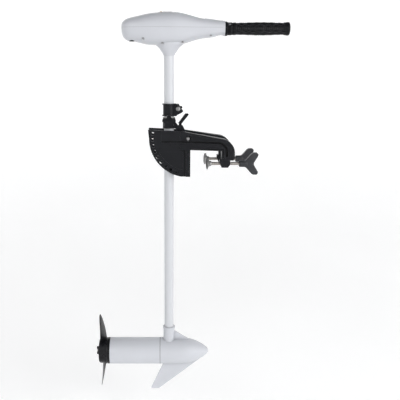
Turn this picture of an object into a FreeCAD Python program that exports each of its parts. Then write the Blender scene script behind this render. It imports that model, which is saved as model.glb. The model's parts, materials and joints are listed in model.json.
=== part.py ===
import FreeCAD, Part
import math
import os
import Sketcher

# Transom-mount electric trolling motor, in millimetres, as an assembly of separate pieces.
# Origin: centre of the bracket's bearing face on the transom. +X runs forward over the boat,
# along the tiller; +Y is to the left; +Z is up. The shaft stands at shaft_x, behind the face.

SIZES = {
    # shaft
    "shaft_x": -61.5, "shaft_radius": 14.3, "shaft_bore": 11.3, "shaft_top": 345, "shaft_foot": -571,
    # bracket
    "pivot_x": -6.4, "pivot_z": 71.4, "pivot_radius": 5, "quadrant_radius": 112.5, "quadrant_edge": -118.9,
    "lock_ring": 103, "lock_hole": 5, "rest_station": 70.5, "station_pitch": 9.75,
    "side_inner": 27, "side_thick": 6, "flange_deep": 13, "flange_out": 38,
    "face_foot": -39.3, "seat_height": 39.3, "slot_wide": 88, "plate_thick": 6,
    "beam_foot": 65, "beam_top": 91.5, "web_top": 96.5, "arm_end": 126, "arm_inner": 33, "arm_outer": 60,
    "rod_y": 46, "rod_z": 1.5, "rod_radius": 4.75, "running_gap": 0.05,
    # swivel and lock
    "sleeve_foot": 98.5, "sleeve_top": 129, "sleeve_radius": 18, "liner_radius": 15.9, "knob_z": 119.5,
    "lever_x": -29, "lever_z": 101, "pin_radius": 4.1, "pin_inner": 8, "pin_outer": 26,
    # depth collar
    "collar_foot": 133.5, "collar_top": 169, "collar_radius": 16.5, "collar_flange": 19.7,
    "lug_bolt_x": 26, "lug_bolt_z": 154, "lug_bolt_radius": 3,
    # control head and tiller
    "parting_z": 378.2, "tiller_z": 375.5, "shell_thick": 3, "tube_radius": 11, "rod_thin": 6,
    "trumpet_foot": 303, "neck_end": 94.5, "bushing_radius": 14.6,
    "dial_start": 103, "grip_start": 115.3, "grip_end": 276,
    # lower unit
    "motor_z": -609.5, "motor_radius": 41.275, "motor_bore": 38.8, "motor_rear": -247.8, "motor_front": -89.9,
    "nose_start": -89.4, "nose_shoulder": -27, "ogive_radius": 134.5, "nose_tip": 63.5, "neck_radius": 17.6,
    "neck_top": -525, "axle_radius": 6, "bolt_offset": 34.4, "skeg_thick": 6, "skeg_foot": -743,
    # propeller
    "hub_front": -248.5, "hub_rear": -282.5, "blade_tip": 122, "blade_lead": 94,
}

# Control head outline: distance along X, height above the parting plane, depth below it, half width.
HEAD_STATIONS = [
    (-193.7, 9, 12, 13), (-192, 14.5, 20.5, 22), (-187, 19.5, 28.5, 29.5), (-176, 25.3, 35.5, 36.8),
    (-154, 30.5, 38.8, 42.5), (-128, 36.5, 44.5, 45.5), (-100, 40.5, 47, 46), (-68, 42, 47.5, 44),
    (-40, 41, 46, 40), (-15, 36, 41.5, 35.5), (10, 29.5, 34, 31), (38, 24.3, 28.3, 27),
    (66, 20.8, 24.5, 23.8), (94.5, 19.3, 23.2, 21.5),
]

# Heights of the cross screws that join the bracket's sides to the transom plate.
SCREW_HEIGHTS = (-25, 25)

# Side screws of the head: X, Y and the height of the screw head's underside.
HEAD_SCREWS = [(-133, 35, 350), (-80, 27, 337), (-23, 22, 339), (55, 17, 358)]

# Flared socket under the head: height, half length along X, half width along Y.
TRUMPET_SECTIONS = [
    (303, 15.4, 15.4), (309, 18.2, 17.4), (314.5, 22, 19.4), (320, 25.8, 21.4),
    (325.5, 30.3, 23.4), (331, 37, 26), (337, 43, 28), (345, 46, 29.5),
]

# Propeller blade sections: radius, chord, setback of the section's middle behind the hub's middle.
BLADE_SECTIONS = [(34, 44, 0), (58, 50, 1.5), (82, 46, 4), (104, 35, 7), (117, 21, 9), (122, 9, 10)]

doc = FreeCAD.newDocument("trolling_motor")


class Size:
    """A length that carries both its number and the sheet expression that drives it."""

    def __init__(self, number, text):
        self.number = float(number)
        self.text = text

    def __add__(self, other):
        other = size(other)
        return Size(self.number + other.number, "(%s + %s)" % (self.text, other.text))

    def __radd__(self, other):
        return size(other) + self

    def __sub__(self, other):
        other = size(other)
        return Size(self.number - other.number, "(%s - %s)" % (self.text, other.text))

    def __rsub__(self, other):
        return size(other) - self

    def __mul__(self, factor):
        return Size(self.number * factor, "(%s * %r)" % (self.text, float(factor)))

    def __neg__(self):
        return self * -1


def size(value):
    """Turn a plain number into a Size; leave a Size as it is."""
    if isinstance(value, Size):
        return value
    return Size(value, "(%r)" % float(value))


def make_sheet():
    """Write the driving sizes into the sheet and return them by name."""
    sheet = doc.addObject("Spreadsheet::Sheet", "sizes")
    names = dict(SIZES)
    for number, station in enumerate(HEAD_STATIONS, 1):
        for field, value in zip(("along", "above", "below", "aside"), station):
            names["head_%s_%d" % (field, number)] = value
    row = 1
    for name, value in names.items():
        sheet.set("A%d" % row, name)
        sheet.set("B%d" % row, str(value))
        sheet.setAlias("B%d" % row, name)
        row += 1
    doc.recompute()
    return {name: Size(sheet.getPropertyByName(name), "sizes." + name) for name in names}


S = make_sheet()
PIECES = []


# ---- sketch and feature helpers -------------------------------------------------------------

def bind(thing, prop, value):
    """Bind a property to a sheet expression."""
    thing.setExpression(prop, size(value).text)


def origin_plane(body, role):
    return [item for item in body.Origin.OriginFeatures if item.Role == role][0]


def new_sketch(body, role, offset=0):
    """A sketch on one of the body's origin planes, moved along the plane's normal."""
    sketch = body.newObject("Sketcher::SketchObject", body.Name + "_sketch")
    sketch.AttachmentSupport = [(origin_plane(body, role), "")]
    sketch.MapMode = "FlatFace"
    bind(sketch, "AttachmentOffset.Base.z", offset)
    return sketch


def fix_point(sketch, geometry, end, x, y):
    """Dimension one point from the sketch's origin; a zero lies on the axis."""
    for kind, value, axis in (("DistanceX", size(x), -2), ("DistanceY", size(y), -1)):
        if value.number == 0:
            sketch.addConstraint(Sketcher.Constraint("PointOnObject", geometry, end, axis))
            continue
        index = sketch.addConstraint(Sketcher.Constraint(kind, -1, 1, geometry, end, value.number))
        sketch.setExpression("Constraints[%d]" % index, value.text)


def bend(start, end, radius):
    """Arc from start to end; a positive radius turns left, a negative one right."""
    chord = end - start
    reach = math.sqrt(radius ** 2 - (chord.Length / 2) ** 2)
    left = FreeCAD.Vector(-chord.y, chord.x, 0).normalize()
    side = 1 if radius > 0 else -1
    centre = (start + end) * 0.5 + left * (reach * side)
    angles = [math.atan2(point.y - centre.y, point.x - centre.x) for point in (start, end)]
    if side < 0:
        angles.reverse()
    circle = Part.Circle(centre, FreeCAD.Vector(0, 0, 1), abs(radius))
    return Part.ArcOfCircle(circle, angles[0], angles[1])


def outline(sketch, points):
    """Closed outline of (x, y) points; (x, y, radius) is reached along an arc of that radius."""
    corners = [FreeCAD.Vector(size(p[0]).number, size(p[1]).number, 0) for p in points]
    ends = []
    for number, point in enumerate(points):
        start = corners[number - 1]
        end = corners[number]
        if len(point) == 3:
            radius = size(point[2])
            geometry = sketch.addGeometry(bend(start, end, radius.number), False)
            flipped = radius.number < 0
            index = sketch.addConstraint(Sketcher.Constraint("Radius", geometry, abs(radius.number)))
            bind(sketch, "Constraints[%d]" % index, -radius if flipped else radius)
            ends.append((geometry, 2, 1) if flipped else (geometry, 1, 2))
        else:
            geometry = sketch.addGeometry(Part.LineSegment(start, end), False)
            ends.append((geometry, 1, 2))
    for number, (geometry, _, last) in enumerate(ends):
        following = ends[(number + 1) % len(ends)]
        sketch.addConstraint(Sketcher.Constraint("Coincident", geometry, last, following[0], following[1]))
        fix_point(sketch, geometry, last, points[number][0], points[number][1])


def circle(sketch, x, y, radius):
    """A dimensioned circle."""
    middle = FreeCAD.Vector(size(x).number, size(y).number, 0)
    shape = Part.Circle(middle, FreeCAD.Vector(0, 0, 1), size(radius).number)
    geometry = sketch.addGeometry(shape, False)
    fix_point(sketch, geometry, 3, x, y)
    index = sketch.addConstraint(Sketcher.Constraint("Radius", geometry, size(radius).number))
    bind(sketch, "Constraints[%d]" % index, radius)


PLANES = {"x": ("YZ_Plane", 1), "y": ("XZ_Plane", -1), "z": ("XY_Plane", 1)}


def solid_between(body, axis, low, high, draw):
    """Pad whatever draw() puts in the sketch from low to high along the axis."""
    role, sign = PLANES[axis]
    offset = size(low) if sign > 0 else -size(high)
    sketch = new_sketch(body, role, offset)
    draw(sketch)
    pad = body.newObject("PartDesign::Pad", body.Name + "_pad")
    pad.Profile = sketch
    bind(pad, "Length", size(high) - size(low))
    sketch.Visibility = False
    return pad


def new_body(name):
    body = doc.addObject("PartDesign::Body", name)
    body.Label = name
    return body


def prism(name, axis, low, high, points):
    """A body with one pad: the outline of points, from low to high along the axis."""
    body = new_body(name)
    solid_between(body, axis, low, high, lambda sketch: outline(sketch, points))
    return body


def tube(name, axis, low, high, centre, radius, bore=None):
    """A round bar or tube along an axis; centre is given in the plane across the axis."""
    body = new_body(name)

    def draw(sketch):
        circle(sketch, centre[0], centre[1], radius)
        if bore is not None:
            circle(sketch, centre[0], centre[1], bore)

    solid_between(body, axis, low, high, draw)
    return body


def turned(name, axis, points):
    """A body turned about a world axis through the origin; points are (along, radius)."""
    role, edge = {"x": ("XZ_Plane", "H_Axis"), "y": ("XY_Plane", "V_Axis"), "z": ("XZ_Plane", "V_Axis")}[axis]
    body = new_body(name)
    sketch = new_sketch(body, role)
    outline(sketch, points if axis == "x" else [(p[1], p[0]) + tuple(p[2:]) for p in points])
    feature = body.newObject("PartDesign::Revolution", name + "_turn")
    feature.Profile = sketch
    feature.ReferenceAxis = (sketch, [edge])
    feature.Angle = 360
    sketch.Visibility = False
    return body


def place(thing, x=0, y=0, z=0):
    """Bind the position of a body or boolean."""
    bind(thing, "Placement.Base.x", x)
    bind(thing, "Placement.Base.y", y)
    bind(thing, "Placement.Base.z", z)
    return thing


def fuse(name, parts):
    result = doc.addObject("Part::MultiFuse", name)
    result.Shapes = parts
    result.Refine = True
    result.Label = name
    return result


def cut(name, base, tools):
    """Cut one tool, or several fused first, from the base."""
    result = doc.addObject("Part::Cut", name)
    result.Base = base
    result.Tool = tools[0] if len(tools) == 1 else fuse(name + "_tools", tools)
    result.Refine = True
    result.Label = name
    return result


def common(name, base, tool):
    result = doc.addObject("Part::MultiCommon", name)
    result.Shapes = [base, tool]
    result.Label = name
    return result


def mirrored(name, source):
    """The left-hand twin of a right-hand piece."""
    result = doc.addObject("Part::Mirroring", name)
    result.Source = source
    result.Normal = FreeCAD.Vector(0, 1, 0)
    result.Label = name
    return result


def shaped(name, shape):
    """A free-form piece whose shape is worked out from the sheet's sizes."""
    result = doc.addObject("Part::Feature", name)
    result.Shape = shape
    result.Placement = FreeCAD.Placement()
    result.Label = name
    return result


def keep(piece):
    """Mark a finished sub-part for export."""
    PIECES.append(piece)
    return piece


# ---- bracket --------------------------------------------------------------------------------

def lock_station(angle):
    """Centre of the lock hole at an angle below the rearward axis through the pivot."""
    turn = math.radians(angle)
    across = S["lock_ring"] * math.cos(turn)
    down = S["lock_ring"] * math.sin(turn)
    return S["pivot_x"] - across, S["pivot_z"] - down


def side_plate():
    """Quarter-disc web plate with its row of lock holes."""
    arc_start = -26.4
    points = [
        (0, S["face_foot"]), (arc_start, S["face_foot"]),
        (S["quadrant_edge"], S["pivot_z"], -S["quadrant_radius"]),
        (-121.8, S["web_top"]), (-20, S["beam_top"] + 0.4), (0, S["beam_top"] - 4.5),
    ]
    return prism("side_web", "y", -S["side_inner"] - S["side_thick"], -S["side_inner"], points)


def arm_solid():
    """Hooked clamp arm: its side profile and its plan profile in common."""
    side = [
        (-84, S["beam_foot"]), (-30, S["beam_foot"]), (-30, S["seat_height"]),
        (S["slot_wide"], S["seat_height"]), (S["slot_wide"], 12), (122, 12), (S["arm_end"], 18),
        (S["arm_end"], 35), (86, 74, 43), (-20, S["beam_top"]), (-84, S["beam_top"] + 2),
    ]
    plan = [
        (-90, -S["side_inner"]), (-10, -S["side_inner"]), (S["slot_wide"], -S["arm_inner"]),
        (S["arm_end"] + 2, -S["arm_inner"] - 1), (S["arm_end"] + 2, -S["arm_outer"] + 6),
        (S["arm_end"] - 6, -S["arm_outer"], -9), (82, -S["arm_outer"]), (-30, -35), (-90, -34),
    ]
    profile = prism("arm_profile", "y", -S["arm_outer"] - 4, -S["side_inner"] + 1, side)
    footprint = prism("arm_footprint", "z", 0, 110, plan)
    return common("arm_solid", profile, footprint)


def arm_grooves():
    """Grooves under the raised beam and inside the edge of the slot; both turn down at the bend."""
    under_beam = prism("beam_path", "y", -70, -28, [
        (-84, 59), (76, 59), (99, 36, -23), (99, 22), (107, 22), (107, 36), (78, 65, 29), (-84, 65)])
    along_edge = prism("edge_path", "y", -70, -28, [
        (3, 42.6), (91.4, 42.6), (91.4, 18), (93.8, 18), (93.8, 45), (3, 45)])
    floor = prism("groove_floor", "z", 10, 80, [
        (-90, -29.5), (-30, -30.5), (82, -54), (130, -54), (130, -70), (-90, -70)])
    return common("arm_grooves", fuse("groove_paths", [under_beam, along_edge]), floor)


def clamp_boss():
    """Faceted boss at the foot of the arm that carries the clamp screw."""
    points = [(83, 14), (83, 4), (89, -9), (107, -9), (113, -1), (113, 14)]
    return prism("clamp_boss", "y", -S["rod_y"] - 11, -S["rod_y"] + 11, points)


def bracket_side():
    """One moulded bracket side: web, front flange, raised beam, hooked arm and screw boss."""
    flange = prism("front_flange", "y", -S["flange_out"], -S["side_inner"], [
        (-S["flange_deep"], S["face_foot"]), (0, S["face_foot"]),
        (0, S["seat_height"]), (-S["flange_deep"], S["seat_height"])])
    body = fuse("side_solid", [side_plate(), flange, arm_solid(), clamp_boss()])
    panel = prism("side_panel", "y", -40, -S["side_inner"] - S["side_thick"] + 1.2, [
        (-21, 33), (-21, -19.2), (-89.5, 32, -92)])
    seam = prism("side_seam", "y", -40, -S["side_inner"] - S["side_thick"] - 0.2, [
        (-30.6, 66), (-29.4, 66), (-29.4, 102), (-30.6, 102)])
    pivot = tube("side_pivot", "y", -70, 0, (S["pivot_x"], S["pivot_z"]), S["pivot_radius"])
    spot = tube("side_spot", "y", -70, -S["side_inner"] - S["side_thick"] - 1,
                (S["pivot_x"], S["pivot_z"]), 8.2)
    rod = tube("side_rod", "x", 70, 130, (-S["rod_y"], S["rod_z"]), S["rod_radius"] + S["running_gap"])
    screws = [tube("side_screw_%d" % (height + 30), "y", -40, 0, (-3, height), 2) for height in SCREW_HEIGHTS]
    first = SIZES["rest_station"] - 8 * SIZES["station_pitch"]
    angles = [first + station * SIZES["station_pitch"] for station in range(9)]
    holes = [tube("side_hole_%d" % (station + 1), "y", -40, 0, lock_station(angle), S["lock_hole"])
             for station, angle in enumerate(angles)]
    right = cut("bracket_side_right", body, [arm_grooves(), panel, seam, pivot, spot, rod] + screws + holes)
    keep(right)
    keep(mirrored("bracket_side_left", right))


def cross_plates():
    """Bearing plate on the transom and the bridge that rests on its top edge."""
    inner = S["side_inner"]
    plate = prism("transom_slab", "x", -S["plate_thick"], 0, [
        (-inner, S["face_foot"]), (inner, S["face_foot"]),
        (inner, S["seat_height"]), (-inner, S["seat_height"])])
    screws = [tube("slab_screw_%d" % (height + 30), "y", low, high, (-3, height), 2)
              for height in SCREW_HEIGHTS for low, high in ((-30, -12), (12, 30))]
    keep(cut("transom_plate", plate, screws))
    flare = (SIZES["arm_inner"] - SIZES["side_inner"]) / (SIZES["slot_wide"] + 10)
    near = S["side_inner"] + 10 * flare
    far = S["side_inner"] + 70 * flare
    keep(prism("bridge_plate", "z", S["seat_height"], S["seat_height"] + S["plate_thick"], [
        (0, -near), (60, -far), (60, far), (0, near)]))


def bracket_screws():
    """Cross screws that hold the two sides to the transom plate."""
    screws = []
    for height in SCREW_HEIGHTS:
        for hand in (-1, 1):
            name = "cross_screw_%d_%s" % (height + 30, "right" if hand < 0 else "left")
            ends = sorted((hand * 12, hand * 38))
            heads = sorted((hand * 38, hand * 40.4))
            shank = tube(name + "_shank", "y", ends[0], ends[1], (-3, height), 2)
            head = tube(name + "_head", "y", heads[0], heads[1], (-3.6, height), 3.5)
            screws += [shank, head]
    keep(fuse("bracket_screws", screws))


def pivot_bolt():
    """Bolt through both sides on which the swivel tilts, and its nut."""
    at = (S["pivot_x"], S["pivot_z"])
    seat = S["side_inner"] + S["side_thick"] + 1
    shank = tube("pivot_shank", "y", -seat, seat + 5.5, at, S["pivot_radius"] - S["running_gap"])
    head = turned("pivot_head", "y", [(0, 0), (0, 6.6), (-2, 6.3), (-3.8, 3.8), (-4.2, 0)])
    place(head, at[0], -seat, at[1])
    keep(fuse("pivot_bolt", [shank, head]))
    nut = new_body("pivot_nut")
    corners = [(math.cos(math.radians(60 * k)), math.sin(math.radians(60 * k))) for k in range(6)]

    def draw(sketch):
        outline(sketch, [(S["pivot_x"] + 8 * c, S["pivot_z"] + 8 * d) for c, d in corners])
        circle(sketch, at[0], at[1], S["pivot_radius"] - S["running_gap"])

    solid_between(nut, "y", seat, seat + 5, draw)
    keep(nut)


# ---- swivel, tilt lock and steering tension -------------------------------------------------

def swivel_bracket():
    """Swivel casting: sleeves round the shaft at both ends, web, pivot barrel and pin guides."""
    pin = lock_station(SIZES["rest_station"])
    sleeve = tube("sleeve", "z", S["sleeve_foot"], S["sleeve_top"], (S["shaft_x"], 0), S["sleeve_radius"])
    web = prism("swivel_web", "y", -8, 8, [
        (-50, 100), (-50, 124), (-41, 114), (-35, 106), (-28, 109), (-21, 105), (-10, 82),
        (2, 66), (-13, 46), (-35.5, -29), (-45.6, -27), (-38, 96)])
    barrel = tube("pivot_barrel", "y", -26.5, 26.5, (S["pivot_x"], S["pivot_z"]), 11)
    tail = tube("tail_tube", "z", -34, 6, (S["shaft_x"], 0), S["sleeve_radius"])
    sweep = tube("tail_sweep", "y", -20, 20, (S["pivot_x"], S["pivot_z"]), S["quadrant_radius"] - 0.5)
    guides = tube("pin_guides", "y", -26.5, 26.5, pin, 6.5)
    boss = tube("tension_boss", "y", -26, -16, (S["shaft_x"], S["knob_z"]), 8)
    solid = fuse("swivel_solid", [sleeve, web, barrel, guides, boss, common("tail_sleeve", tail, sweep)])
    tools = [
        tube("liner_bore", "z", 90, 135, (S["shaft_x"], 0), S["liner_radius"]),
        tube("tail_bore", "z", -40, 10, (S["shaft_x"], 0), S["shaft_radius"] + 0.7),
        tube("barrel_bore", "y", -30, 30, (S["pivot_x"], S["pivot_z"]), 7),
        tube("guide_bore", "y", -30, 30, pin, S["pin_radius"] + S["running_gap"]),
        tube("tension_bore", "y", -30, -14, (S["shaft_x"], S["knob_z"]), 4.05),
        tube("lever_bore", "y", -10, 10, (S["lever_x"], S["lever_z"]), 2.5),
        prism("lever_slot", "y", -5.2, 5.2, [(-37, 128), (-37, 92), (-17, 92), (-17, 128)]),
        prism("rod_channel", "y", -2.8, 2.8, [(-34, 95), (-24.5, 95), (-35, -13), (-44.5, -13)]),
        prism("wedge_pocket", "y", -6.4, 6.4, [(-50, 2), (-33.5, 2), (-35.8, -22), (-50, -22)]),
    ]
    keep(cut("swivel_bracket", solid, tools))


def swivel_liners():
    """Nylon liner round the shaft and the two bushings on the pivot bolt."""
    liner = tube("shaft_liner", "z", S["sleeve_foot"] - 1, S["sleeve_top"] + 1, (S["shaft_x"], 0),
                 S["liner_radius"], S["shaft_radius"] + S["running_gap"] + 0.03)
    window = tube("liner_window", "y", -20, 0, (S["shaft_x"], S["knob_z"]), 4.05)
    keep(cut("shaft_bushing", liner, [window]))
    at = (S["pivot_x"], S["pivot_z"])
    ends = [tube("pivot_bushing_%s" % side, "y", low, high, at, 7, S["pivot_radius"])
            for side, low, high in (("right", -26.7, -6), ("left", 6, 26.7))]
    keep(fuse("pivot_bushings", ends))


def tilt_lock():
    """Lever, its pin, the pull rod with its wedge, and the two lock pins."""
    keep(tube("lever_pin", "y", -8.6, 8.6, (S["lever_x"], S["lever_z"]), 2.5))
    hub = tube("lever_hub", "y", -4.8, 4.8, (S["lever_x"], S["lever_z"]), 5.8)
    neck = prism("lever_neck", "y", -4.8, 4.8, [(-33.5, 102), (-24.5, 102), (-25, 113), (-33, 113)])
    blade = prism("lever_blade", "y", -8, 8, [
        (-34.5, 113.5), (-25.5, 111), (-4.5, 137.5), (-6.5, 140.5), (-14.5, 140.5)])
    solid = fuse("lever_solid", [hub, neck, blade])
    bore = tube("lever_eye", "y", -10, 10, (S["lever_x"], S["lever_z"]), 2.55)
    keep(cut("tilt_lever", solid, [bore]))
    rod = tube("pull_rod_bar", "z", -104, 0, (0, 0), 2.2)
    wedge = prism("pull_rod_wedge", "y", -6, 6, [(-3.4, -106), (3.4, -106), (3.4, -96), (-3.4, -96)])
    pull = fuse("lock_pull_rod", [rod, wedge])
    place(pull, -29.8, 0, 94.4)
    pull.Placement.Rotation = FreeCAD.Rotation(FreeCAD.Vector(0, 1, 0), 5.5)
    keep(pull)
    pin = lock_station(SIZES["rest_station"])
    near, far = S["pin_inner"], S["pin_outer"]
    for side, low, high in (("right", -far, -near), ("left", near, far)):
        keep(tube("lock_pin_" + side, "y", low, high, pin, S["pin_radius"]))


def lobed_knob(name, radius, lobes, thick, bore, stem_radius, stem_length):
    """Hand knob about the Y axis: a core disc with a ring of round lobes and a stem on its +Y side."""
    body = new_body(name)
    lobe_radius = radius * 0.3
    ring = radius - lobe_radius

    def washer(outer):
        def draw(sketch):
            circle(sketch, 0, 0, outer)
            circle(sketch, 0, 0, bore)
        return draw

    solid_between(body, "y", 0, thick, washer(ring))
    solid_between(body, "y", thick, thick + stem_length, washer(stem_radius))
    lobe = solid_between(body, "y", 0, thick, lambda sketch: circle(sketch, 0, ring, lobe_radius))
    doc.recompute()
    pattern = body.newObject("PartDesign::PolarPattern", name + "_pattern")
    pattern.Originals = [lobe]
    pattern.Axis = (lobe.Profile[0], ["N_Axis"])
    pattern.Angle = 360
    pattern.Occurrences = lobes
    body.Tip = pattern
    return body


def tension_knob():
    """Steering tension knob with its screw, on the right of the sleeve."""
    knob = lobed_knob("tension_knob", 20, 5, 15, 4, 7.5, 11.5)
    keep(place(knob, S["shaft_x"], -53, S["knob_z"]))
    keep(tube("tension_screw", "y", -51, -14.9, (S["shaft_x"], S["knob_z"]), 4))


def depth_collar():
    """Split collar clamped to the shaft, with its bolt and hand knob."""
    low = S["collar_foot"]
    high = S["collar_top"]
    ring = turned("collar_ring", "z", [
        (low, 14), (low, S["collar_flange"]), (low + 3, S["collar_flange"]),
        (low + 3, S["collar_radius"] + 0.6),
        (high - 3, S["collar_radius"] + 0.6), (high - 3, S["collar_flange"]), (high, S["collar_flange"]),
        (high, 14)])
    place(ring, S["shaft_x"])
    lug = prism("collar_lug", "y", -9, 9, [
        (0, low), (21, low), (24, 137), (33, 141), (40.4, 146), (40.4, 149.5), (21, high), (0, high)])
    place(lug, S["shaft_x"])
    solid = fuse("collar_solid", [ring, lug])
    bolt_at = (S["shaft_x"] + S["lug_bolt_x"], S["lug_bolt_z"])
    tools = [
        tube("collar_bore", "z", 130, 175, (S["shaft_x"], 0), S["shaft_radius"] + S["running_gap"] + 0.03),
        prism("collar_split", "y", -1.2, 1.2, [(-49, 130), (-15, 130), (-15, 175), (-49, 175)]),
        tube("collar_eye", "y", -20, 20, bolt_at, S["lug_bolt_radius"]),
    ]
    keep(cut("depth_collar", solid, tools))
    shank = tube("collar_shank", "y", -9, 24, bolt_at, S["lug_bolt_radius"])
    head = place(turned("collar_bolt_head", "y", [(0, 0), (0, 6.2), (-2.6, 6.2), (-4.2, 3.5), (-4.6, 0)]),
                 bolt_at[0], -9, bolt_at[1])
    keep(fuse("collar_bolt", [shank, head]))
    knob = lobed_knob("depth_knob", 13.5, 5, 12, S["lug_bolt_radius"] + S["running_gap"], 6, 5)
    knob.Placement.Rotation = FreeCAD.Rotation(FreeCAD.Vector(0, 0, 1), 180)
    keep(place(knob, bolt_at[0], 26.3, bolt_at[1]))


# ---- shaft and control head -----------------------------------------------------------------

def shaft_tube():
    keep(tube("shaft_tube", "z", S["shaft_foot"], S["shaft_top"], (S["shaft_x"], 0),
              S["shaft_radius"], S["shaft_bore"]))
    leads = [tube("lead_%d" % n, "z", -560, 352, (S["shaft_x"] + x, y), 2.4)
             for n, (x, y) in enumerate(((3.5, 3), (-3.5, 3), (0, -4)))]
    keep(fuse("motor_leads", leads))


def head_section(station, grow):
    """One rounded cross-section of the head, grown by an offset."""
    along, above, below, aside = station
    power = 2 / 2.35
    points = []
    for step in range(32):
        turn = 2 * math.pi * step / 32
        across = math.copysign(abs(math.cos(turn)) ** power, math.cos(turn)) * (aside + grow)
        rise = math.copysign(abs(math.sin(turn)) ** power, math.sin(turn))
        height = rise * ((above if rise > 0 else below) + grow)
        points.append(FreeCAD.Vector(along, across, S["parting_z"].number + height))
    curve = Part.BSplineCurve()
    curve.interpolate(Points=points, PeriodicFlag=True)
    return Part.Wire([curve.toShape()])


def head_solid(grow, first=0, last_x=None):
    """Smooth solid through the head's stations, grown or shrunk by an offset."""
    stations = [[S["head_%s_%d" % (field, n)].number for field in ("along", "above", "below", "aside")]
                for n in range(1, len(HEAD_STATIONS) + 1)]
    stations = stations[first:]
    stations[0][0] -= grow
    if last_x is not None:
        stations[-1][0] = last_x
    return Part.makeLoft([head_section(station, grow) for station in stations], True, False)


def upright(points, low, high):
    """A vertical prism through plan points, as a plain shape."""
    corners = [FreeCAD.Vector(x, y, low) for x, y in points]
    face = Part.Face(Part.makePolygon(corners + corners[:1]))
    return face.extrude(FreeCAD.Vector(0, 0, high - low))


def column(x, y, low, high, radius):
    """A vertical cylinder as a plain shape."""
    return Part.makeCylinder(radius, high - low, FreeCAD.Vector(x, y, low))


def head_shells():
    """Top cover and lower housing of the control head, with screw posts, panel and badge."""
    parting = S["parting_z"].number
    outer = head_solid(0)
    inner = head_solid(-S["shell_thick"].number, 1, S["neck_end"].number + 1)
    skin = head_solid(0.9)
    above = Part.makeBox(400, 200, 100, FreeCAD.Vector(-250, -100, parting))
    below = Part.makeBox(400, 200, 100, FreeCAD.Vector(-250, -100, parting - 100))
    spots = [(x, side * y, base) for x, y, base in HEAD_SCREWS for side in (-1, 1)]
    cover_posts = [column(x, y, parting, 430, 5).common(outer) for x, y, _ in spots]
    housing_posts = [column(x, y, 320, parting, 5).common(outer) for x, y, _ in spots]
    cover = outer.common(above).cut(inner).multiFuse(cover_posts)
    button_hole = column(-75, 0, 395, 430, 5.5)
    shanks = [column(x, y, base, 386, 1.6) for x, y, base in spots]
    neck_start = FreeCAD.Vector(76, 0, S["tiller_z"].number)
    neck_bore = Part.makeCylinder(S["bushing_radius"].number + 0.1, 30, neck_start, FreeCAD.Vector(1, 0, 0))
    cover = cover.cut(Part.makeCompound(shanks + [button_hole])).cut(neck_bore)
    keep(shaped("head_top_cover", cover))
    badge = skin.common(oval(-14, 34, 13.5, 380, 440)).cut(outer)
    keep(shaped("badge_plate", badge))
    panel_plan = [(-52, -7), (-52, 7), (-84, 17), (-91, 0), (-84, -17)]
    panel = skin.common(upright(panel_plan, 380, 440)).cut(outer).cut(button_hole)
    keep(shaped("meter_panel", panel))
    trumpet = trumpet_shape(inner)
    housing = outer.common(below).cut(inner).multiFuse(housing_posts + [trumpet])
    sockets = [column(x, y, 320, base + 0.2, 3.6) for x, y, base in spots]
    scallop = Part.makeCylinder(14, 120, FreeCAD.Vector(-166, -60, 330.5), FreeCAD.Vector(0, 1, 0))
    gland_hole = column(-166, 0, 335, 352, 8)
    bore = column(S["shaft_x"].number, 0, 300, 350, S["shaft_radius"].number)
    housing = housing.cut(Part.makeCompound(shanks + sockets)).cut(scallop).cut(gland_hole)
    housing = housing.cut(bore).cut(neck_bore)
    keep(shaped("head_lower_housing", housing))
    heads = [column(x, y, base - 2.4, base, 3.2) for x, y, base in spots]
    screws = [shank.fuse(head) for shank, head in zip(shanks, heads)]
    keep(shaped("head_screws", Part.makeCompound(screws)))


def oval(x, half_long, half_wide, low, high):
    """A vertical elliptic prism as a plain shape."""
    ellipse = Part.Ellipse(FreeCAD.Vector(x, 0, low), half_long, half_wide)
    face = Part.Face(Part.Wire([ellipse.toShape()]))
    return face.extrude(FreeCAD.Vector(0, 0, high - low))


def trumpet_shape(inner):
    """Flared socket under the head that takes the top of the shaft, and its sleeve inside."""
    middle = S["shaft_x"].number
    wires = []
    for height, half_long, half_wide in TRUMPET_SECTIONS:
        ellipse = Part.Ellipse(FreeCAD.Vector(middle, 0, height), half_long, half_wide)
        wires.append(Part.Wire([ellipse.toShape()]))
    flare = Part.makeLoft(wires, True, False).cut(inner)
    return flare.fuse(column(middle, 0, S["trumpet_foot"].number, 348, 18.5).cut(
        column(middle, 0, 300, TRUMPET_SECTIONS[3][0], 30)))


def head_fittings():
    """Cable gland, meter button and speed switch."""
    gland = turned("cable_gland", "z", [(343.5, 4), (341.5, 8), (352, 8), (352, 10), (355, 10), (355, 4)])
    keep(place(gland, -166))
    button = turned("meter_button", "z", [
        (409, 0), (409, 8), (411, 8), (411, 5), (420.6, 5), (421.3, 4), (421.3, 0)])
    keep(place(button, -75))
    at = (0, S["tiller_z"])
    keep(tube("speed_switch_body", "x", -148, -112, at, 20, 8.3))
    keep(tube("switch_rotor", "x", -146, -114, at, 8.2, S["rod_thin"]))


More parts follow.
